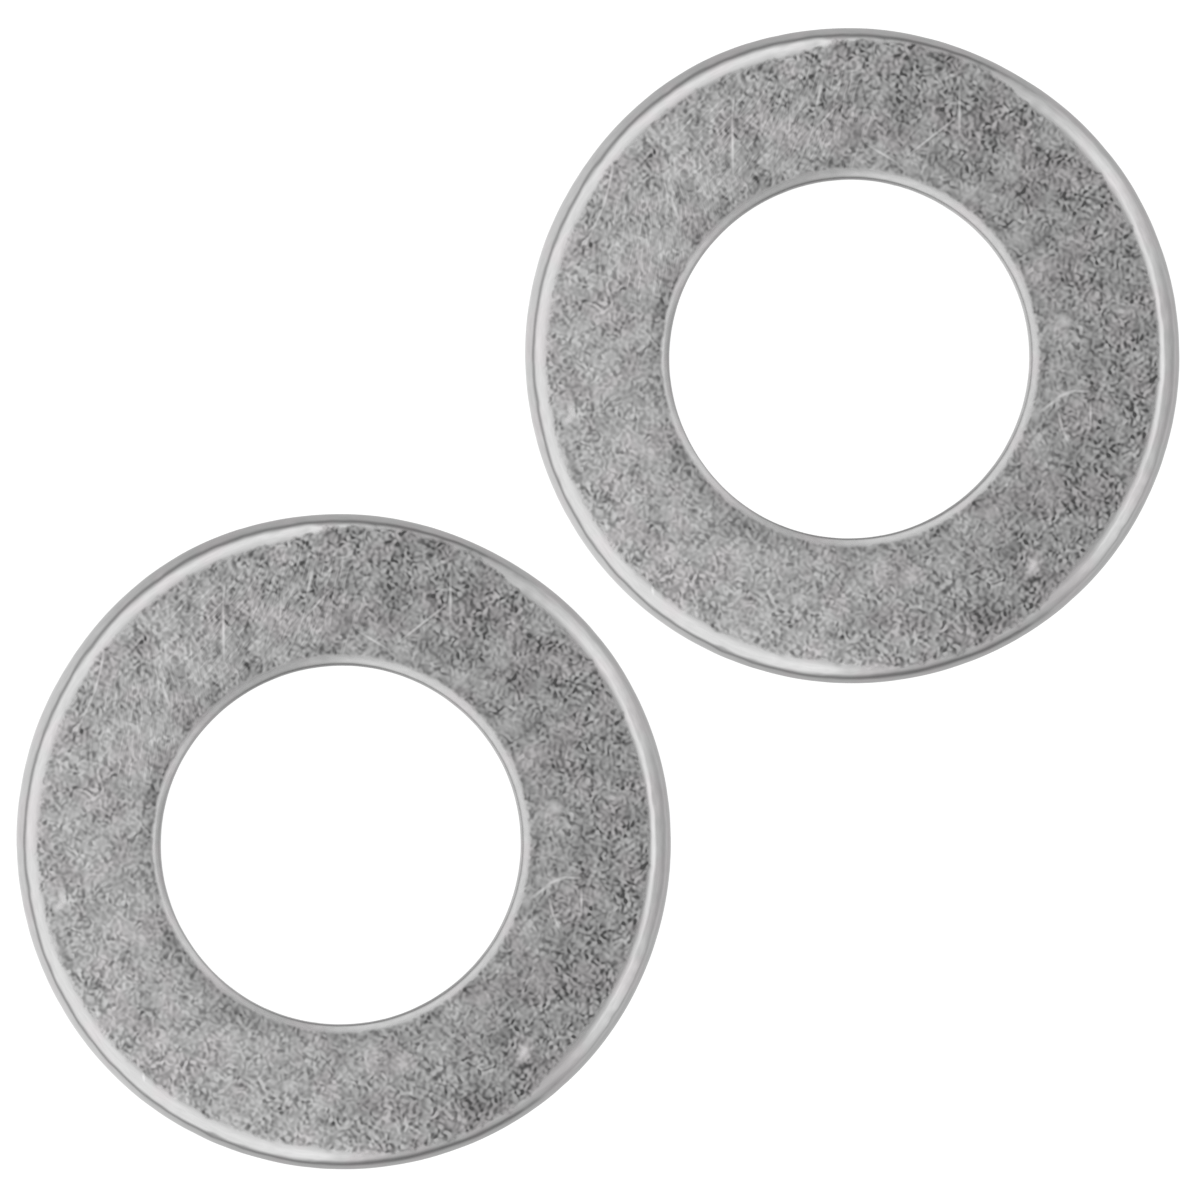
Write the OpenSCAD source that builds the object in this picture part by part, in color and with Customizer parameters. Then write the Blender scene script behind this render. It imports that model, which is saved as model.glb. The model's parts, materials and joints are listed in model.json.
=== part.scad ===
/* [Washer] */
// Outside diameter of each washer
outer_d = 26; // [22:0.5:32]
// Bore diameter, a loose fit on a 14 mm axle
bore_d = 14.25; // [12:0.05:17]
// Thickness of the steel strip that the washers are punched from
thickness = 2.5; // [2.2:0.1:4]
// Distance by which the bore was punched off centre
bore_shift = 0.17; // [0:0.01:0.4]
// Direction of that shift, from +X towards +Y
bore_shift_angle = 223.7; // [0:0.1:359.9]

/* [Outside edge] */
// Radius that the die drew down round the outside of the top face
outer_roll = 0.95; // [0.3:0.05:1]
// Height of the smooth sheared band below that roll
outer_sheared = 0.6; // [0.3:0.05:0.7]
// Radius that tumbling wore on the burr at the outside of the bottom face
outer_wear = 0.3; // [0.1:0.05:0.4]

/* [Bore edge] */
// Radius that the punch drew down round the bore in the top face
bore_roll = 0.48; // [0.2:0.02:0.8]
// Height of the smooth sheared band below that roll
bore_sheared = 0.8; // [0.3:0.05:0.9]
// Radius that tumbling wore on the burr round the bore in the bottom face
bore_wear = 0.25; // [0.1:0.05:0.4]

/* [Torn bands] */
// How far the torn metal falls back from the sheared wall by the time it reaches the burr
tear_depth = 0.06; // [0:0.01:0.12]

/* [Pair] */
// Clear gap between the two washers as they lie
pair_gap = 1.9; // [0.5:0.1:20]
// Direction from the left washer to the right one, from +X towards +Y
pair_angle = 43.7; // [0:0.1:90]

/* [Hidden] */
plating = "silver";
// Radii at the sheared walls, which are what a gauge reads
outer_r = outer_d / 2;
bore_r = bore_d / 2;
// Radii at the burrs
outer_burr_r = outer_r - tear_depth;
bore_burr_r = bore_r + tear_depth;
// Heights at which tearing took over from shearing
outer_tear_z = thickness - outer_roll - outer_sheared;
bore_tear_z = thickness - bore_roll - bore_sheared;
// From the middle of the pair to the centre of either washer
pair_half = (outer_d + pair_gap) / 2;
// How far the bore's cutter runs past both faces
over = 1;
$fn = 180;

// What rounding takes off a square corner whose tip is at the origin, with metal on its -X and -Y sides
module corner_waste(radius) {
    translate([-radius, -radius])
        difference() {
            square(radius + over);
            circle(radius);
        }
}

// Half section of the blank from its axis out: worn burr, torn band, sheared band, then the roll at the top
module blank_section() {
    difference() {
        polygon([
            [0, 0],
            [outer_burr_r, 0],
            [outer_burr_r, outer_wear],
            [outer_r, outer_tear_z],
            [outer_r, thickness],
            [0, thickness]
        ]);
        translate([outer_r, thickness]) corner_waste(outer_roll);
        translate([outer_burr_r, 0]) mirror([0, 1]) corner_waste(outer_wear);
    }
}

// Half section of what the punch takes out, with the same bands in the same order
module bore_section() {
    polygon([
        [0, -over],
        [bore_burr_r, -over],
        [bore_burr_r, bore_wear],
        [bore_r, bore_tear_z],
        [bore_r, thickness + over],
        [0, thickness + over]
    ]);
    translate([bore_r, thickness]) mirror([1, 0]) corner_waste(bore_roll);
    translate([bore_burr_r, 0]) rotate(180) corner_waste(bore_wear);
}

// One washer with its rolled edges up, centred on its outside diameter
module washer() {
    color(plating)
        difference() {
            rotate_extrude() blank_section();
            translate(bore_shift * [cos(bore_shift_angle), sin(bore_shift_angle), 0])
                rotate_extrude() bore_section();
        }
}

// A washer in its place in the pair: side is -1 for the left one and 1 for the right one
module placed_washer(side) {
    translate(side * pair_half * [cos(pair_angle), sin(pair_angle), 0]) washer();
}

module left_washer() {
    placed_washer(-1);
}

module right_washer() {
    placed_washer(1);
}

left_washer();
right_washer();
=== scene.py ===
import json
import math
import random
from functools import partial

import bmesh
import bpy
from mathutils import Matrix, Vector, noise
from mathutils.kdtree import KDTree


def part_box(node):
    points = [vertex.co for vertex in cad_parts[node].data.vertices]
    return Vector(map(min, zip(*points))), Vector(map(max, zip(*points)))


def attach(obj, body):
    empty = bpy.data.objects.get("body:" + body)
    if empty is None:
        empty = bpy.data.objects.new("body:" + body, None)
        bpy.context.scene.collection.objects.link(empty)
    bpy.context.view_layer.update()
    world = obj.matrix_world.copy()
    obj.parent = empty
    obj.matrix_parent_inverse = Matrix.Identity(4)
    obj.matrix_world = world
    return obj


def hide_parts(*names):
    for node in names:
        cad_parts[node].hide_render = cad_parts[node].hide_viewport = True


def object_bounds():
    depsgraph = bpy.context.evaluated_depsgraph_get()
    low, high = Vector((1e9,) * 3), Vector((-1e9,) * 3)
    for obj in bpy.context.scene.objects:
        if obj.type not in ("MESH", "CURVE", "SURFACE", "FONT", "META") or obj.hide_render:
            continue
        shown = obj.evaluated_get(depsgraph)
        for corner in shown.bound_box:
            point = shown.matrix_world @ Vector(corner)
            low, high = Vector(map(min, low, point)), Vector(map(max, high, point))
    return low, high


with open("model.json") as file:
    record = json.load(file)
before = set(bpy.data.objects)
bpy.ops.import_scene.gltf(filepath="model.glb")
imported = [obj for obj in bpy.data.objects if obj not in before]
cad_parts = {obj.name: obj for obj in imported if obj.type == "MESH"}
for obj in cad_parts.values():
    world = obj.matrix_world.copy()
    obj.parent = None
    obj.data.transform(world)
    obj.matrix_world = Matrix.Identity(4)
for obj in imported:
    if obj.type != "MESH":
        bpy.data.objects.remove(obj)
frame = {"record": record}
cad_box = [list(corner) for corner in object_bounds()]

# Lengths below are in millimetres, and MM turns them to metres
MM = 0.001
TO_MM = 1000.0
# Points nearer than this are one point
CLOSE = 0.001

# One washer's section, as the solid has it: rolls on the top face, worn burrs underneath
OUTER_ROLL = 0.95
OUTER_SHEARED = 0.6
OUTER_WEAR = 0.3
BORE_ROLL = 0.48
BORE_SHEARED = 0.8
BORE_WEAR = 0.25
TEAR_DEPTH = 0.06

# How finely the section is cut, and the turn
OUTER_ROLL_CUTS = 26
BORE_ROLL_CUTS = 16
WEAR_CUTS = 6
TOP_PITCH = 0.13
BAND_PITCH = 0.15
BOTTOM_PITCH = 0.32
# A sixteenth of the turn is spun in this many steps, then doubled four times
SPIN_STEPS = 40
DOUBLINGS = 4

# The bore is punched off centre, and its roll is narrower on the side that it's nearer to: the rings
# between these two radii share out the shift, and the roll's outer end has this share of it
SHIFT_FULL_R = 7.2
SHIFT_NONE_R = 8.2
ROLL_END_SHIFT = 0.6

# The roll round the bore is wider than it's deep, and deepest at this azimuth
BORE_ROLL_DEPTH = 0.29
BORE_ROLL_DEPTH_SWING = 0.09
BORE_ROLL_DEEPEST = 75.0
# Where the outside and the bore bulge or fall short of a circle: (azimuth, half width, height). Each
# fades out towards this radius
ROUND_TO_R = 8.2
OUT_OF_ROUND = [(120.0, 32.0, 0.10), (62.0, 30.0, -0.075), (195.0, 38.0, -0.04), (-45.0, 36.0, 0.035)]
BORE_OUT_OF_ROUND = [(22.0, 48.0, 0.055), (118.0, 58.0, -0.052), (-120.0, 34.0, 0.02)]

# Relief that tumbling left in the metal: (wavelength, height) of each swell, on the whole and on the
# rolls. Each next swell is cut from the noise this much further up, and the bore's roll has a share
SWELLS = [(3.4, 0.006), (1.3, 0.0035), (0.62, 0.0022)]
SWELL_STEP = 7.3
ROLL_SWELLS = [(1.9, 0.012), (0.8, 0.007), (0.42, 0.0052)]
ROLL_SWELL_STEP = -5.1
BORE_SWELL_SHARE = 0.5
# Relief of the torn bands: width and depth of the furrows, how many times longer than wide they are,
# and the slice of the noise that they come from
TORN_WAVE = 0.28
TORN_RELIEF = 0.03
TORN_DRAG = 3.2
TORN_SLICE = 2.0
# It starts and is full this far inside the wall, and this far above the tear
TORN_BESIDE = (0.12, 0.03)
TORN_ABOVE = (0.03, -0.09)
# Dents: every third one is on the face and the others are on the outside roll, at these slopes
DENT_COUNT = 90
FACE_DENT_EVERY = 3
DENT_SLOPES = (0.1, 1.2)
DENT_SIZES = (0.16, 0.42)
DENT_DEPTH_SHARE = 0.035
DENT_DEPTH_SPREAD = (0.4, 1.0)
DENT_SEED = 26

# Blender's soft step from one value to another
SOFT_STEP = {"interpolation_type": "SMOOTHSTEP"}

# Tone runs from 0 for a dark grain to 1 for a pale one. A scratch and a fleck have a tone of their own,
# and a pit or a spot changes the tone of its place
SCRATCH_TONE = 1.05
FLECK_TONE = 0.90
PIT_TONE = -0.22
SPOT_TONE = 0.12
# How fast a mark rises to its full strength from its edge
MARK_GAIN = 1.6
# Marks on the top face, from the washer's centre: (start, end, width, strength)
SCRATCHES = [
    ((-9.48, 7.50), (-9.66, 6.60), 0.09, 0.45),
    ((-9.64, 6.70), (-9.90, 5.80), 0.09, 0.45),
    ((-9.86, 5.90), (-10.33, 4.88), 0.08, 0.30),
    ((-10.28, 4.96), (-10.66, 4.22), 0.08, 0.28),
    ((-4.68, 10.27), (-4.76, 9.36), 0.08, 0.32),
    ((-4.76, 9.40), (-4.72, 7.22), 0.09, 0.55),
    ((-2.46, 9.91), (-2.50, 8.45), 0.08, 0.30),
    ((-1.15, 11.10), (-1.43, 9.68), 0.09, 0.36),
    ((-0.36, 10.15), (-1.74, 8.68), 0.08, 0.34),
    ((0.56, 8.37), (1.79, 7.63), 0.08, 0.34),
    ((1.98, 7.75), (4.09, 9.40), 0.08, 0.36),
    ((4.25, 10.59), (4.25, 8.76), 0.09, 0.34),
    ((3.70, 9.99), (4.16, 9.99), 0.10, 0.30),
    ((-7.20, 6.30), (-6.86, 5.35), 0.09, 0.50),
    ((7.42, -2.26), (8.29, -1.59), 0.10, 0.38),
    ((8.10, -1.66), (8.81, -1.39), 0.10, 0.38),
    ((8.70, -1.40), (9.40, -1.43), 0.09, 0.34),
    ((9.44, -1.90), (9.44, -2.80), 0.09, 0.42),
    ((8.17, -2.26), (8.33, -2.94), 0.09, 0.32),
    ((8.30, -2.86), (8.61, -3.53), 0.09, 0.32),
    ((-9.76, -6.66), (-9.72, -6.92), 0.09, 0.42),
    ((-8.89, -7.86), (-8.86, -8.12), 0.09, 0.42),
    ((-8.14, -8.66), (-8.11, -8.92), 0.09, 0.45),
    ((-7.93, -9.18), (-7.88, -9.44), 0.08, 0.42),
    ((-6.22, -10.10), (-6.16, -10.34), 0.09, 0.45),
]
FLECKS = [
    ((-11.21, -2.04), (-11.03, -2.34), 0.16, 0.85),
    ((-11.03, -2.36), (-11.42, -2.68), 0.16, 0.80),
    ((-11.50, -2.24), (-11.62, -2.36), 0.15, 0.60),
    ((8.24, 1.44), (8.60, 1.24), 0.27, 0.50),
    ((8.98, 1.18), (9.16, 1.06), 0.16, 0.40),
    ((7.24, -8.16), (7.08, -8.50), 0.33, 0.68),
]
# Where the barrel left the face a little paler, and a little darker
PALE_SPOTS = [
    ((4.2, -8.2), (0.6, -9.2), 1.0, 0.6),
    ((-2.4, 11.3), (1.6, 11.5), 0.8, 0.6),
    ((-3.6, 9.3), (-1.4, 9.8), 0.9, 0.4),
    ((1.0, 8.8), (3.2, 8.2), 0.7, 0.35),
]
DARK_SPOTS = [
    ((-6.9, 4.4), (-4.6, 6.8), 0.8, 0.6),
    ((3.6, -10.6), (-2.8, -10.9), 1.0, 0.4),
]
PITS = [
    ((-6.22, 9.31), (-6.16, 9.25), 0.20, 0.80),
    ((-3.10, 10.94), (-3.00, 10.88), 0.20, 0.70),
    ((-3.84, 7.05), (-3.78, 6.99), 0.20, 0.80),
]

# Soft patches in the plate: (cycles in a millimetre, detail, roughness, offset)
PATCHES = {
    "band edge": (2.2, 2.0, 0.5, 5.0),
    "bitten": (1.2, 1.0, 0.5, 5.0),
    "cloud": (0.9, 3.0, 0.6, 33.0),
    "tint": (0.55, 1.0, 0.5, 41.0),
    "pebbled": (3.9, 0.0, 0.5, 21.0),
}
# Height of the fine relief that the grit left between the curls
PEBBLE_HEIGHT = 0.004
# The face's grain is short curls of pits that the grit cut, their darkness painted shade of the pits:
# (spacing, share) of each size, the cycles in one curl, and how far along each size is taken. Their sum
# is fully dark at the low value, fully pale at the high one
CURLS = [(0.24, 1.00), (0.38, 0.90), (0.62, 0.40)]
CURL_CYCLES = 1.6
CURL_SHIFT = 90.0
CURL_LOW = -0.46
CURL_HIGH = 0.40
# The face's own tone, and how far the curls (their darkness painted shade of the pits), the slow clouds
# and the bite change it
FACE_TONE = 0.522
CURL_SHADE_TONE = 0.49
CLOUD_TONE = 0.70
BITE_TONE = -0.09
# Patches where the grit bit little and where it bit hard: (patch low, high, bite low, high)
BITE_STEP = (0.38, 0.62, 0.58, 1.10)
# The grit bit harder towards the outside: the share of its bite at each of two radii
BITE_RADII = (8.2, 11.6)
BITE_SHARES = (0.84, 1.12)
# Slow bend of the curls: cycles in a millimetre, and how far in mm
BEND_CYCLES = 3.0
BEND_REACH = 0.12
# Where more of the curls run one way, as if brushed: the place on the top face, its reach, the share
# there and elsewhere, and the way they run. The bite is calmer and the tone darker with the share
BRUSH_PLACE = (-5.8, 6.2, 2.5)
BRUSH_REACH = 6.5
BRUSH_SHARE = 0.22
REST_SHARE = 0.12
BRUSH_TURN = 0.12
BRUSH_CALM = -0.4
BRUSH_TONE = -0.35
# Fine pale lines of brushing: (direction, from +X towards +Y, in degrees; centre; reach)
BRUSH_LINES = [
    (97.0, (-6.4, 5.2, 2.5), 3.6),
    (80.0, (-8.2, 4.4, 2.5), 3.0),
    (48.0, (-4.2, 8.2, 2.5), 3.8),
    (112.0, (-5.2, 6.2, 2.5), 3.0),
    (76.0, (-1.6, 9.2, 2.5), 3.4),
    (62.0, (-3.0, 8.6, 2.5), 3.2),
]
# Length and width of one such line, the step that cuts the lines out of the noise, and their tone
BRUSH_LINE_SIZE = (0.9, 0.12, 1.0)
BRUSH_LINE_STEP = (0.55, 0.72)
BRUSH_LINE_TONE = 0.12
# Painted light: direction of the side painted paler as if lit more, how the change goes across the
# washer, and the radii where it sets in
PAINTED_LIGHT_SIDE = (-0.95, -0.31, 0.0)
PAINTED_LIGHT_SIDE_STEP = (-3.5, 5.5)
PAINTED_LIGHT_SIDE_FROM_R = (7.8, 9.2)
PAINTED_LIGHT_SIDE_TONE = 0.085

# The polished bands on the rolled edges: their tone, and how far their edge wanders
BAND_TONE = 0.65
BORE_BAND_TONE = 0.56
BAND_WANDER = 0.45
BORE_BAND_WANDER = 0.20
# Where each band starts and where it's full, measured onto the flat from the end of the roll
OUTER_BAND_EDGE = (0.04, -0.18)
BORE_BAND_EDGE = (-0.04, -0.20)
# Between these heights the bands' width goes over to that of the worn edges underneath
UNDER_Z = (1.35, 1.15)
# The flat is darker in a ring beside the bore's roll: where this ends and where it's full
DARK_RING_R = (8.15, 7.65)
DARK_RING_TONE = -0.07
# Where the grain runs up the rolled outside edge: (azimuth, half width) in degrees, how softly that
# ends, how far up in mm, and how dark and how wide the flat's edge is there
GRAINY_EDGES = [(-69.0, 12.0), (77.0, 12.0)]
GRAINY_EDGE_SOFT = (13.0, -7.0)
GRAINY_EDGE_REACH = 0.40
GRAINY_EDGE_TONE = -0.03
GRAINY_EDGE_WIDTH = 0.9
# Fine streaks round the rolled edges
STREAK_LENGTH = 0.6
STREAK_WIDTH = 0.12
STREAK_DETAIL = 2.0
STREAK_TONE = 0.14
# The torn part of each wall: its tone and grain, and how far its upper edge wanders
TORN_TONE = 0.42
TORN_CONTRAST = 0.9
TORN_CYCLES = 4.5
TORN_DRAG_CYCLES = 2.4
TORN_DETAIL = {"Detail": 3.0, "Roughness": 0.7}
TORN_WANDER = 0.30
TORN_EDGE_SOFT = 0.05
# It fades out this far from the wall, and between these heights at the worn edge underneath
TORN_NEAR_WALL = (0.25, 0.12)
TORN_END_Z = (0.12, 0.30)

# Roughness of each finish: tumbled flat, fresh scratch, polished bands and torn metal
FACE_ROUGH = 0.36
MARK_ROUGH = 0.26
OUTER_BAND_ROUGH = 0.14
BORE_BAND_ROUGH = 0.26
TORN_ROUGH = 0.48
# Colours of a dark grain, which also paints the curls' shade, and of two pale ones, and the patches
# where the warmer of these lies
DARK_GRAIN = "#3C3C3C"
PALE_GRAIN = "#F7F7F7"
WARM_GRAIN = "#F9F6F7"
WARM_STEP = (0.48, 0.62)
# No grain is darker than this tone
DARKEST_TONE = 0.06

# The photograph's frame: its width on the table, and where its centre falls
PHOTO_WIDTH = 47.6
PHOTO_CENTRE = (0.092, -0.051)
LENS = 600.0
SENSOR = 36.0
# What the camera sees starts and ends at these distances, in metres
NEAR_CLIP = 0.1
FAR_CLIP = 10.0

# The light table's reach in metres, and its acrylic
TABLE_REACH = 1.5
TABLE_COLOUR = "#898989"
TABLE_LIGHT_COLOUR = "#FFFFFF"
TABLE_LIGHT = 0.90
TABLE_ROUGH = 0.6

# Studio light, in degrees and shares of white. Azimuth runs from +X towards +Y
SKY_LIGHT = 0.53
# Each soft box: (azimuth, half width, side softness, low, high, softness up and down, added light)
SOFT_BOXES = [
    (-180.0, 89.8, 12.0, -43.0, 82.0, 34.5, 0.63),
    (0.0, 25.5, 40.0, 47.0, 69.0, 8.0, 0.63),
    (0.0, 101.0, 7.0, 27.5, 43.5, 29.0, 0.37),
    (-31.0, 3.7, 19.5, 1.0, 54.0, 5.5, 0.62),
    (36.5, 7.5, 27.0, -7.0, 52.0, 12.0, 0.65),
    (35.0, 50.0, 15.0, 46.0, 72.0, 10.0, 0.12),
]
# Light from the table below, and where there is more: (azimuth, half width, side softness, added light)
TABLE_GLOW = 0.58
TABLE_GLOWS = [(-170.0, 50.0, 26.0, 0.36), (-12.0, 42.0, 25.0, 0.04)]
# The dark line between sky and table: its height, and its sways as (height, azimuth of a peak, turns)
LINE_LEVEL = -2.2
LINE_SWAYS = [(15.5, -208.0, 1.0), (5.0, -232.5, 2.0)]
# Sky and table blend over this much, and the line fades over this much, above and below it
LINE_BLEND = 8.0
LINE_REACH = 18.0
# Where it's dark: (azimuth, half width, side softness). Elsewhere it's a little brighter instead
LINE_SIDE = (183.0, 124.0, 9.0)
LINE_DEPTH = 0.70
LINE_RIGHT_GAIN = 0.15
# Where the line is deeper and wider: (azimuth, half width, side softness)
LINE_DARKS = [(-84.0, 22.0, 16.0), (112.0, 26.0, 20.0)]
LINE_DARK_DEPTH = -0.03
LINE_DARK_SPREAD = 0.5


def linear(hex_colour):
    """Turns an sRGB hex value into linear colour with alpha."""
    parts = [int(hex_colour[i:i + 2], 16) / 255 for i in (1, 3, 5)]
    return [p / 12.92 if p <= 0.04045 else ((p + 0.055) / 1.055) ** 2.4 for p in parts] + [1.0]


def add_node(tree, kind, inputs=(), out=0, **settings):
    """Adds one node with its settings. Each input is a value, or the output that feeds it."""
    node = tree.nodes.new("ShaderNode" + kind)
    for name, value in settings.items():
        setattr(node, name, value)
    for socket, value in inputs.items() if isinstance(inputs, dict) else enumerate(inputs):
        if isinstance(value, bpy.types.NodeSocket):
            tree.links.new(value, node.inputs[socket])
        else:
            node.inputs[socket].default_value = value
    return node.outputs[out] if node.outputs else None


def smooth(value, start, end):
    """0 before start, 1 after end, and a soft turn between them."""
    t = min(1.0, max(0.0, (value - start) / (end - start)))
    return t * t * (3 - 2 * t)


def bulge(azimuth, rows):
    """How far out of round an edge is at this azimuth."""
    return sum(height * smooth(-abs((azimuth - peak + 180) % 360 - 180), -half, 0.0)
               for peak, half, height in rows)


def tear_heights(thickness):
    """Where the sheared band ends and the torn one starts, on the outside and in the bore."""
    return thickness - OUTER_ROLL - OUTER_SHEARED, thickness - BORE_ROLL - BORE_SHEARED


def washer_section(bm, outer_r, bore_r, thickness):
    """Half section of a washer as a loop of edges in the XZ plane."""
    outer_tear_z, bore_tear_z = tear_heights(thickness)
    corners = [
        (bore_r + TEAR_DEPTH, 0.0, BORE_WEAR, WEAR_CUTS),
        (outer_r - TEAR_DEPTH, 0.0, OUTER_WEAR, WEAR_CUTS),
        (outer_r, outer_tear_z, 0.0, 0),
        (outer_r, thickness, OUTER_ROLL, OUTER_ROLL_CUTS),
        (bore_r, thickness, BORE_ROLL, BORE_ROLL_CUTS),
        (bore_r, bore_tear_z, 0.0, 0),
    ]
    verts = [bm.verts.new((r, 0.0, z)) for r, z, radius, cuts in corners]
    bm.faces.new(verts)
    for vert, (r, z, radius, cuts) in zip(verts, corners):
        if radius:
            bmesh.ops.bevel(bm, geom=[vert], offset=radius, offset_type="OFFSET", segments=cuts,
                            profile=0.5, affect="VERTICES", material=-1)
    bmesh.ops.delete(bm, geom=bm.faces[:], context="FACES_ONLY")
    for edge in bm.edges[:]:
        a, b = (v.co for v in edge.verts)
        flat = abs(a.z - b.z) < CLOSE
        pitch = (TOP_PITCH if a.z > thickness / 2 else BOTTOM_PITCH) if flat else BAND_PITCH
        cuts = round((a - b).length / pitch) - 1
        if cuts > 0:
            bmesh.ops.subdivide_edges(bm, edges=[edge], cuts=cuts)


def dents(outer_r, bore_r, thickness):
    """Small dents from the tumbling barrel, most of them on the outside roll: (place, size, depth)."""
    rng = random.Random(DENT_SEED)
    found = []
    for count in range(DENT_COUNT):
        turn = rng.uniform(0, 2 * math.pi)
        size = rng.uniform(*DENT_SIZES)
        if count % FACE_DENT_EVERY:
            slope = rng.uniform(*DENT_SLOPES)
            r = outer_r - OUTER_ROLL + OUTER_ROLL * math.sin(slope)
            z = thickness - OUTER_ROLL + OUTER_ROLL * math.cos(slope)
        else:
            r = rng.uniform(bore_r + BORE_ROLL, outer_r - OUTER_ROLL)
            z = thickness
        place = Vector((r * math.cos(turn), r * math.sin(turn), z))
        found.append((place, size, size * DENT_DEPTH_SHARE * rng.uniform(*DENT_DEPTH_SPREAD)))
    return found


def spun_washer(outer_r, bore_r, thickness):
    """The section spun round the Z axis, and the roll round the bore made shallower."""
    bm = bmesh.new()
    washer_section(bm, outer_r, bore_r, thickness)
    angle = 2 * math.pi / 2 ** DOUBLINGS
    bmesh.ops.spin(bm, geom=bm.verts[:] + bm.edges[:], cent=(0, 0, 0), axis=(0, 0, 1), dvec=(0, 0, 0),
                   angle=angle, steps=SPIN_STEPS, use_merge=False, use_normal_flip=False,
                   use_duplicate=False)
    for doubling in range(DOUBLINGS):
        copy = bmesh.ops.duplicate(bm, geom=bm.verts[:] + bm.edges[:] + bm.faces[:])["geom"]
        bmesh.ops.rotate(bm, verts=[part for part in copy if isinstance(part, bmesh.types.BMVert)],
                         cent=(0, 0, 0), matrix=Matrix.Rotation(angle * 2 ** doubling, 3, "Z"))
    bmesh.ops.remove_doubles(bm, verts=bm.verts[:], dist=CLOSE)
    for vert in bm.verts:
        down = thickness - vert.co.z
        if math.hypot(vert.co.x, vert.co.y) < bore_r + BORE_ROLL and down < BORE_ROLL + CLOSE:
            turn = math.atan2(vert.co.y, vert.co.x) - math.radians(BORE_ROLL_DEEPEST)
            depth = BORE_ROLL_DEPTH + BORE_ROLL_DEPTH_SWING * math.cos(turn)
            vert.co.z = thickness - down * depth / BORE_ROLL
    bmesh.ops.recalc_face_normals(bm, faces=bm.faces[:])
    bm.normal_update()
    return bm


def worn_places(bm, outer_r, bore_r, thickness):
    """Where each vertex goes with the dents, the swells and the furrows of the torn bands."""
    near = KDTree(len(bm.verts))
    for n, vert in enumerate(bm.verts):
        near.insert(vert.co, n)
    near.balance()
    dented = [0.0] * len(bm.verts)
    for place, size, depth in dents(outer_r, bore_r, thickness):
        for co, n, away in near.find_range(place, size):
            dented[n] += depth * smooth(-away, -size, 0.0)
    walls = list(zip((1, -1), (outer_r, -bore_r), tear_heights(thickness)))
    places = []
    for vert, dent in zip(bm.verts, dented):
        co = vert.co
        r = math.hypot(co.x, co.y)
        lift = -dent
        for n, (wave, height) in enumerate(SWELLS):
            at = Vector((co.x / wave, co.y / wave, co.z / wave + SWELL_STEP * n))
            lift += height * noise.noise(at)
        rolled = smooth(r, outer_r - OUTER_ROLL, outer_r - OUTER_ROLL / 2)
        rolled += BORE_SWELL_SHARE * smooth(-r, -bore_r - BORE_ROLL, -bore_r - BORE_ROLL / 2)
        for n, (wave, height) in enumerate(ROLL_SWELLS):
            at = Vector((co.x / wave, co.y / wave, co.z / wave + ROLL_SWELL_STEP * n))
            lift += height * rolled * noise.noise(at)
        torn = 0.0
        for out, wall, tear in walls:
            beside = smooth(out * r, *(wall - inside for inside in TORN_BESIDE))
            torn += beside * smooth(-co.z, *(-tear - above for above in TORN_ABOVE))
        if torn:
            turn = math.atan2(co.y, co.x) * r
            at = Vector((turn / TORN_WAVE, co.z / TORN_WAVE / TORN_DRAG, TORN_SLICE))
            lift -= TORN_RELIEF * torn * (0.5 + noise.noise(at))
        places.append(co + vert.normal * lift)
    return places


def washer_mesh(name, outer_r, bore_r, thickness, bore_shift):
    """One washer round the Z axis, in millimetres, worn and out of true as the real one is."""
    bm = spun_washer(outer_r, bore_r, thickness)
    places = worn_places(bm, outer_r, bore_r, thickness)
    limits = [(-outer_r, outer_r), (-outer_r, outer_r), (0.0, thickness)]
    for vert, co in zip(bm.verts, places):
        r = math.hypot(co.x, co.y)
        if r > outer_r:
            co = Vector((co.x * outer_r / r, co.y * outer_r / r, co.z))
        azimuth = math.degrees(math.atan2(co.y, co.x))
        swing = bulge(azimuth, OUT_OF_ROUND) * smooth(r, ROUND_TO_R, outer_r)
        swing += bulge(azimuth, BORE_OUT_OF_ROUND) * smooth(-r, -ROUND_TO_R, -bore_r)
        co = Vector((co.x * (1 + swing / r), co.y * (1 + swing / r), co.z))
        co = co + bore_shift * (1.0 - smooth(r, SHIFT_FULL_R, SHIFT_NONE_R))
        vert.co = [min(high, max(low, length)) for length, (low, high) in zip(co, limits)]
    mesh = bpy.data.meshes.new(name)
    bm.to_mesh(mesh)
    bm.free()
    mesh.polygons.foreach_set("use_smooth", [True] * len(mesh.polygons))
    return mesh


def washer_piece(side):
    """Makes the washer that stands for one node, in its place."""
    node = side + "_washer"
    low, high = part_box(node)
    centre = (low + high) / 2
    bore = next(m for m in frame["record"]["mounts"] if m["name"] == side + "_bore")
    outer_r = min(high.x - low.x, high.y - low.y) / 2 * TO_MM
    bore_r = bore["dims"]["r_mm"]
    thickness = (high.z - low.z) * TO_MM
    shift = Vector((bore["pos_m"][0] - centre.x, bore["pos_m"][1] - centre.y, 0.0)) * TO_MM
    mesh = washer_mesh(side + "_plain_washer", outer_r, bore_r, thickness, shift)
    mesh.transform(Matrix.Translation((centre.x, centre.y, low.z)) @ Matrix.Scale(MM, 4))
    piece = bpy.data.objects.new(side + "_plain_washer", mesh)
    bpy.context.scene.collection.objects.link(piece)
    mesh.materials.append(tumbled_zinc_plate(side, centre * TO_MM, shift, outer_r, bore_r, thickness))
    # The polished bands mirror the soft light alone, not the other washer
    piece.visible_glossy = False
    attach(piece, "root")
    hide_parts(node)
    return piece


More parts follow.
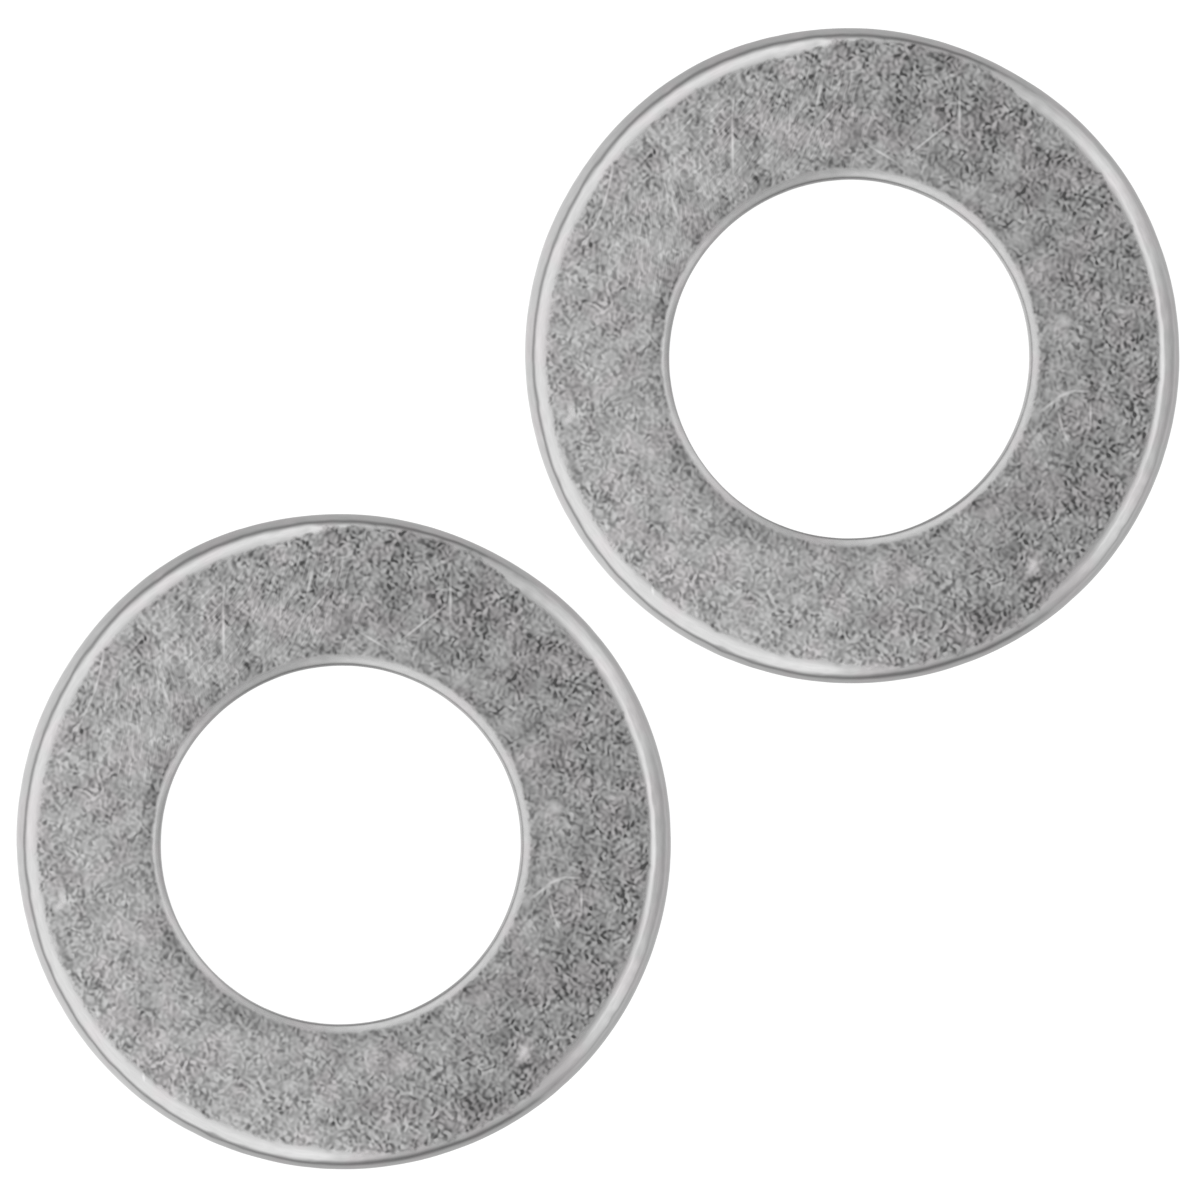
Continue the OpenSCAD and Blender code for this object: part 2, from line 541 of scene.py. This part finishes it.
def mark_field(node, place, top, marks):
    """Adds up soft stretched spots, one for each mark, and keeps the sum at 1 or less."""
    total = 0.0
    for start, end, width, strength in marks:
        dx, dy = end[0] - start[0], end[1] - start[1]
        spot = node("Mapping", {
            "Vector": place,
            "Location": ((start[0] + end[0]) / 2, (start[1] + end[1]) / 2, top),
            "Rotation": (0.0, 0.0, math.atan2(dy, dx)),
            "Scale": (math.hypot(dx, dy) / 2 + width, width, 1.0),
        }, vector_type="TEXTURE")
        fade = node("TexGradient", [spot], out=1, gradient_type="SPHERICAL")
        total = node("Math", [fade, strength * MARK_GAIN, total], operation="MULTIPLY_ADD")
    return node("Clamp", [total])


def tumbled_zinc_plate(side, centre, bore_shift, outer_r, bore_r, thickness):
    """Bright zinc plate on steel that was tumbled with grit before plating. The barrel left the flats
    covered in short curls of pits between paler grains, and polished the rolled edges smooth. The
    curls' darkness is painted shade of the pits. The sheared part of each wall is bright too, and the
    torn part below it is dull."""
    material = bpy.data.materials.new("tumbled_zinc_plate_" + side)
    material.use_nodes = True
    tree = material.node_tree
    tree.nodes.clear()
    node = partial(add_node, tree)
    where = node("TexCoord", out=3)
    place = node("Mapping", {
        "Vector": where, "Location": (-centre[0], -centre[1], 0.0), "Scale": (TO_MM, TO_MM, TO_MM),
    })
    bore_place, roll_place = (
        node("Mapping", {"Vector": place, "Location": bore_shift * -share})
        for share in (1.0, ROLL_END_SHIFT)
    )
    height = node("SeparateXYZ", [place], out=2)
    patches = {}
    for name, (cycles, detail, rough, offset) in PATCHES.items():
        moved = node("VectorMath", [place, (offset, offset, offset)], operation="ADD")
        patches[name] = node("TexNoise", {
            "Vector": moved, "Scale": cycles, "Detail": detail, "Roughness": rough,
        })

    # How far out each place is, from the middle of the outside, of the bore and of its roll's end
    levels = [
        node("VectorMath", [spot, (1.0, 1.0, 0.0)], operation="MULTIPLY")
        for spot in (place, bore_place, roll_place)
    ]
    out_r, in_r, roll_r = (node("VectorMath", [spot], out=1, operation="LENGTH") for spot in levels)
    level = levels[0]
    around = node("VectorMath", [level], operation="NORMALIZE")

    # Where the flats end: the polished bands are narrow underneath, and their edge is a little ragged
    under = node("MapRange", [height, *UNDER_Z], **SOFT_STEP)
    outer_wander, bore_wander = (
        node("Math", [patches["band edge"], most, -most / 2], operation="MULTIPLY_ADD")
        for most in (BAND_WANDER, BORE_BAND_WANDER)
    )
    grainy = 0.0
    for azimuth, half in GRAINY_EDGES:
        turn = math.radians(azimuth)
        facing = node("VectorMath", [around, (math.cos(turn), math.sin(turn), 0.0)], out=1,
                      operation="DOT_PRODUCT")
        rim = [math.cos(math.radians(half + soft)) for soft in GRAINY_EDGE_SOFT]
        run_up = node("MapRange", [facing, *rim], **SOFT_STEP)
        grainy = node("Math", [grainy, run_up], operation="MAXIMUM")
    upper = node("MapRange", [height, thickness - OUTER_ROLL, thickness - OUTER_ROLL / 2], **SOFT_STEP)
    grainy = node("Math", [grainy, upper], operation="MULTIPLY")
    edge_r = node("Math", [out_r, outer_wander], operation="ADD")
    edge_r = node("Math", [grainy, -GRAINY_EDGE_REACH, edge_r], operation="MULTIPLY_ADD")
    edge_r = node("Math", [under, OUTER_WEAR - OUTER_ROLL, edge_r], operation="MULTIPLY_ADD")
    rim = [outer_r - OUTER_ROLL - inward for inward in OUTER_BAND_EDGE]
    outer_band = node("MapRange", [edge_r, *rim], **SOFT_STEP)
    rim = [outer_r - OUTER_ROLL - GRAINY_EDGE_WIDTH, outer_r - OUTER_ROLL]
    dark_edge = node("MapRange", [out_r, *rim], **SOFT_STEP)
    dark_edge = node("Math", [dark_edge, grainy], operation="MULTIPLY")
    dark_ring = node("MapRange", [roll_r, *DARK_RING_R], **SOFT_STEP)
    edge_r = node("Math", [roll_r, bore_wander], operation="ADD")
    edge_r = node("Math", [under, BORE_ROLL - BORE_WEAR, edge_r], operation="MULTIPLY_ADD")
    rim = [bore_r + BORE_ROLL + outward for outward in BORE_BAND_EDGE]
    bore_band = node("MapRange", [edge_r, *rim], **SOFT_STEP)
    band = node("Math", [outer_band, bore_band], operation="MAXIMUM")

    # The torn part of each wall starts at a ragged height, and ends at the worn burr
    ragged = node("Math", [patches["bitten"], TORN_WANDER, -TORN_WANDER / 2], operation="MULTIPLY_ADD")
    ragged = node("Math", [ragged, height], operation="ADD")
    torn = 0.0
    for r, wall, into, tear in zip((out_r, in_r), (outer_r, bore_r), (-1, 1), tear_heights(thickness)):
        near = node("MapRange", [r, *(wall + into * away for away in TORN_NEAR_WALL)], **SOFT_STEP)
        below = node("MapRange", [ragged, tear + TORN_EDGE_SOFT, tear - TORN_EDGE_SOFT], **SOFT_STEP)
        torn = node("Math", [near, below, torn], operation="MULTIPLY_ADD")
    unworn = node("MapRange", [height, *TORN_END_Z], **SOFT_STEP)
    torn = node("Math", [torn, unworn], operation="MULTIPLY")

    # Painted light: the side towards the light is painted paler than the other, but for a ring round
    # the bore
    lean = node("VectorMath", [place, PAINTED_LIGHT_SIDE], out=1, operation="DOT_PRODUCT")
    painted_light_side = node("MapRange", [lean, *PAINTED_LIGHT_SIDE_STEP, -1.0, 1.0], **SOFT_STEP)
    past_ring = node("MapRange", [in_r, *PAINTED_LIGHT_SIDE_FROM_R], **SOFT_STEP)
    painted_light_side = node("Math", [painted_light_side, past_ring], operation="MULTIPLY")

    # Curls a little over 0.1 mm wide where the grit bit, painted dark as the shade of the pits, bent a
    # little and lying every way
    bend = node("TexNoise", {"Vector": place, "Scale": BEND_CYCLES, "Detail": 0.0}, out=1)
    bend = node("VectorMath", [bend, (0.5, 0.5, 0.5)], operation="SUBTRACT")
    bent = node("VectorMath", [bend, (BEND_REACH, BEND_REACH, 0.0), place], operation="MULTIPLY_ADD")
    away = node("VectorMath", [place, BRUSH_PLACE], out=1, operation="DISTANCE")
    reach = (BRUSH_REACH / 2, BRUSH_REACH)
    brushed = node("MapRange", [away, *reach, BRUSH_SHARE, REST_SHARE], **SOFT_STEP)
    curls = 0.0
    for spacing, share in CURLS:
        shifted = node("Mapping", {"Vector": bent, "Location": (spacing * CURL_SHIFT, 0.0, 0.0)})
        waves = node("TexGabor", {
            "Vector": shifted, "Scale": 1 / (spacing * CURL_CYCLES), "Frequency": CURL_CYCLES,
            "Anisotropy": brushed, 4: BRUSH_TURN,
        })
        waves = node("Math", [waves, 0.5], operation="SUBTRACT")
        curls = node("Math", [waves, share, curls], operation="MULTIPLY_ADD")
    curls = node("MapRange", [curls, CURL_LOW, CURL_HIGH, -0.5, 0.5], **SOFT_STEP)
    bite = node("MapRange", [patches["bitten"], *BITE_STEP], **SOFT_STEP)
    calm = node("Math", [brushed, BRUSH_CALM, 1.0], operation="MULTIPLY_ADD")
    bite = node("Math", [bite, calm], operation="MULTIPLY")
    outward = node("MapRange", [out_r, *BITE_RADII, *BITE_SHARES], **SOFT_STEP)
    bite = node("Math", [bite, outward], operation="MULTIPLY")
    lines = 0.0
    for turn, lines_place, reach in BRUSH_LINES:
        along = node("Mapping", {
            "Vector": place, "Location": (turn, 0.0, 0.0), "Rotation": (0.0, 0.0, math.radians(turn)),
            "Scale": BRUSH_LINE_SIZE,
        }, vector_type="TEXTURE")
        fibre = node("TexNoise", {"Vector": along, "Scale": 1.0, "Detail": 0.0})
        fibre = node("MapRange", [fibre, *BRUSH_LINE_STEP], **SOFT_STEP)
        away = node("VectorMath", [place, lines_place], out=1, operation="DISTANCE")
        nearby = node("MapRange", [away, reach / 2, reach, 1.0, 0.0], **SOFT_STEP)
        fibre = node("Math", [fibre, nearby], operation="MULTIPLY")
        lines = node("Math", [lines, fibre], operation="MAXIMUM")

    scratch, fleck, pit, pale_spot, dark_spot = (
        mark_field(node, place, thickness, marks)
        for marks in (SCRATCHES, FLECKS, PITS, PALE_SPOTS, DARK_SPOTS)
    )
    bright = node("Math", [scratch, fleck], operation="MAXIMUM")

    # Share of pale grain in each place, first on the flats, then on the bands and the torn walls
    flat_tone = FACE_TONE - CLOUD_TONE / 2
    tone = node("Math", [patches["cloud"], CLOUD_TONE, flat_tone], operation="MULTIPLY_ADD")
    bitten = node("Math", [curls, bite], operation="MULTIPLY")
    for layer, share in (
        (bitten, CURL_SHADE_TONE), (bite, BITE_TONE), (lines, BRUSH_LINE_TONE), (painted_light_side, PAINTED_LIGHT_SIDE_TONE),
        (brushed, BRUSH_TONE), (dark_edge, GRAINY_EDGE_TONE), (dark_ring, DARK_RING_TONE),
        (pale_spot, SPOT_TONE), (dark_spot, -SPOT_TONE), (pit, PIT_TONE),
    ):
        tone = node("Math", [layer, share, tone], operation="MULTIPLY_ADD")
    along = node("VectorMath", {0: around, "Scale": outer_r / STREAK_LENGTH}, operation="SCALE")
    across = node("Math", [in_r, 1 / STREAK_WIDTH], operation="MULTIPLY")
    across = node("CombineXYZ", {"Z": across})
    streak = node("VectorMath", [along, across], operation="ADD")
    streak = node("TexNoise", {"Vector": streak, "Scale": 1.0, "Detail": STREAK_DETAIL})
    streak = node("Math", [streak, STREAK_TONE, BAND_TONE - STREAK_TONE / 2], operation="MULTIPLY_ADD")
    streak = node("Math", [bore_band, BORE_BAND_TONE - BAND_TONE, streak], operation="MULTIPLY_ADD")
    tone = node("Mix", {0: band, 2: tone, 3: streak})
    tone = node("Mix", {0: fleck, 2: tone, 3: FLECK_TONE})
    tone = node("Mix", {0: scratch, 2: tone, 3: SCRATCH_TONE})
    across = node("CombineXYZ", {"Z": node("Math", [height, TORN_DRAG_CYCLES], operation="MULTIPLY")})
    along = node("VectorMath", {0: level, "Scale": TORN_CYCLES}, operation="SCALE")
    crystals = node("VectorMath", [along, across], operation="ADD")
    crystals = node("TexNoise", {"Vector": crystals, "Scale": 1.0, **TORN_DETAIL})
    torn_tone = TORN_TONE - TORN_CONTRAST / 2
    crystals = node("Math", [crystals, TORN_CONTRAST, torn_tone], operation="MULTIPLY_ADD")
    tone = node("Mix", {0: torn, 2: tone, 3: crystals})
    tone = node("Clamp", [tone, DARKEST_TONE])
    tint = node("MapRange", [patches["tint"], *WARM_STEP], **SOFT_STEP)
    pale = node("Mix", {0: tint, 6: linear(PALE_GRAIN), 7: linear(WARM_GRAIN)}, out=2, data_type="RGBA")
    colour = node("Mix", {0: tone, 6: linear(DARK_GRAIN), 7: pale}, out=2, data_type="RGBA")

    rough = node("Math", [bright, MARK_ROUGH - FACE_ROUGH, FACE_ROUGH], operation="MULTIPLY_ADD")
    for share, value in (
        (outer_band, OUTER_BAND_ROUGH), (bore_band, BORE_BAND_ROUGH), (torn, TORN_ROUGH),
    ):
        rough = node("Mix", {0: share, 2: rough, 3: value})
    relief = node("Math", [1.0, band], operation="SUBTRACT")
    relief = node("Math", [patches["pebbled"], relief], operation="MULTIPLY")
    relief = node("Bump", {"Height": relief, "Strength": 1.0, "Distance": PEBBLE_HEIGHT * MM})

    shader = node("BsdfPrincipled", {
        "Metallic": 1.0, "Base Color": colour, "Roughness": rough, "Normal": relief,
    })
    node("OutputMaterial", {"Surface": shader})
    return material


def opal_acrylic():
    """White acrylic lit from below, as a light table is, so hardly any shadow falls on it."""
    material = bpy.data.materials.new("opal_acrylic")
    material.use_nodes = True
    shader = material.node_tree.nodes["Principled BSDF"]
    shader.inputs["Base Color"].default_value = linear(TABLE_COLOUR)
    shader.inputs["Roughness"].default_value = TABLE_ROUGH
    shader.inputs["Specular IOR Level"].default_value = 0.0
    shader.inputs["Emission Color"].default_value = linear(TABLE_LIGHT_COLOUR)
    shader.inputs["Emission Strength"].default_value = TABLE_LIGHT
    return material


def light_table():
    """The pale floor that the washers lie on."""
    bm = bmesh.new()
    bmesh.ops.create_grid(bm, x_segments=1, y_segments=1, size=TABLE_REACH)
    mesh = bpy.data.meshes.new("light_table")
    bm.to_mesh(mesh)
    bm.free()
    mesh.materials.append(opal_acrylic())
    floor = bpy.data.objects.new("light_table", mesh)
    bpy.context.scene.collection.objects.link(floor)
    # What the bands mirror of it is in the light tent, as the light from the table
    floor.visible_glossy = False


def light_tent():
    """The studio light, all of it soft: a sky with soft boxes above the table, and the light that
    comes back up from the table below. The dark line between the two isn't level."""
    world = bpy.data.worlds.new("light_tent")
    world.use_nodes = True
    world.cycles.sampling_method = "NONE"
    bpy.context.scene.world = world
    tree = world.node_tree
    tree.nodes.clear()
    node = partial(add_node, tree)
    direction = node("TexCoord", out=0)
    x, y, z = (node("SeparateXYZ", [direction], out=n) for n in range(3))
    azimuth = node("Math", [node("Math", [y, x], operation="ARCTAN2")], operation="DEGREES")
    elevation = node("Math", [node("Math", [z], operation="ARCSINE")], operation="DEGREES")

    def beside(centre, half, soft):
        """1 within half of the azimuth centre, with soft ends."""
        away = node("Math", [azimuth, centre], operation="SUBTRACT")
        away = node("Math", [away, 180.0, -180.0], operation="WRAP")
        away = node("Math", [away], operation="ABSOLUTE")
        return node("MapRange", [away, half + soft, half - soft], **SOFT_STEP)

    light = SKY_LIGHT
    for centre, half, side_soft, low, high, rise, change in SOFT_BOXES:
        box = beside(centre, half, side_soft)
        for start, end in ((low - rise, low + rise), (high + rise, high - rise)):
            rows = node("MapRange", [elevation, start, end], **SOFT_STEP)
            box = node("Math", [box, rows], operation="MULTIPLY")
        light = node("Math", [box, change, light], operation="MULTIPLY_ADD")
    glow = TABLE_GLOW
    for centre, half, side_soft, change in TABLE_GLOWS:
        glow = node("Math", [beside(centre, half, side_soft), change, glow], operation="MULTIPLY_ADD")

    # Height of the dark line, which sways once and twice in a turn
    line = LINE_LEVEL
    for swing, peak, turns in LINE_SWAYS:
        phase = node("Math", [azimuth, peak], operation="SUBTRACT")
        phase = node("Math", [phase, math.radians(turns)], operation="MULTIPLY")
        line = node("Math", [node("Math", [phase], operation="COSINE"), swing, line],
                    operation="MULTIPLY_ADD")
    above = node("Math", [elevation, line], operation="SUBTRACT")
    over = node("MapRange", [above, -LINE_BLEND, LINE_BLEND], **SOFT_STEP)
    light = node("Mix", {0: over, 2: glow, 3: light})
    dark = 0.0
    for place in LINE_DARKS:
        dark = node("Math", [dark, beside(*place)], operation="ADD")
    spread = node("Math", [dark, LINE_DARK_SPREAD, 1.0], operation="MULTIPLY_ADD")
    away = node("Math", [node("Math", [above, spread], operation="DIVIDE")], operation="ABSOLUTE")
    near = node("MapRange", [away, LINE_REACH, 0.0], **SOFT_STEP)
    depth = node("Math", [beside(*LINE_SIDE), -LINE_DEPTH, LINE_RIGHT_GAIN], operation="MULTIPLY_ADD")
    depth = node("Math", [dark, LINE_DARK_DEPTH, depth], operation="MULTIPLY_ADD")
    depth = node("Math", [near, depth, 1.0], operation="MULTIPLY_ADD")
    light = node("Math", [light, depth], operation="MULTIPLY")
    background = node("Background", {"Color": light})
    node("OutputWorld", {"Surface": background})


def overhead_camera(outline_z):
    """Looks straight down from far off, so that no wall of a bore shows. The photograph's width is
    true at the height of the washers' outline."""
    data = bpy.data.cameras.new("overhead")
    data.lens = LENS
    data.sensor_width = SENSOR
    data.clip_start = NEAR_CLIP
    data.clip_end = FAR_CLIP
    camera = bpy.data.objects.new("overhead", data)
    bpy.context.scene.collection.objects.link(camera)
    away = PHOTO_WIDTH * LENS / SENSOR
    camera.location = (PHOTO_CENTRE[0] * MM, PHOTO_CENTRE[1] * MM, outline_z + away * MM)
    bpy.context.scene.camera = camera


for side in ("left", "right"):
    washer_piece(side)
light_table()
light_tent()
overhead_camera(cad_box[1][2] - OUTER_ROLL * MM)
bpy.context.scene.view_settings.view_transform = "Standard"
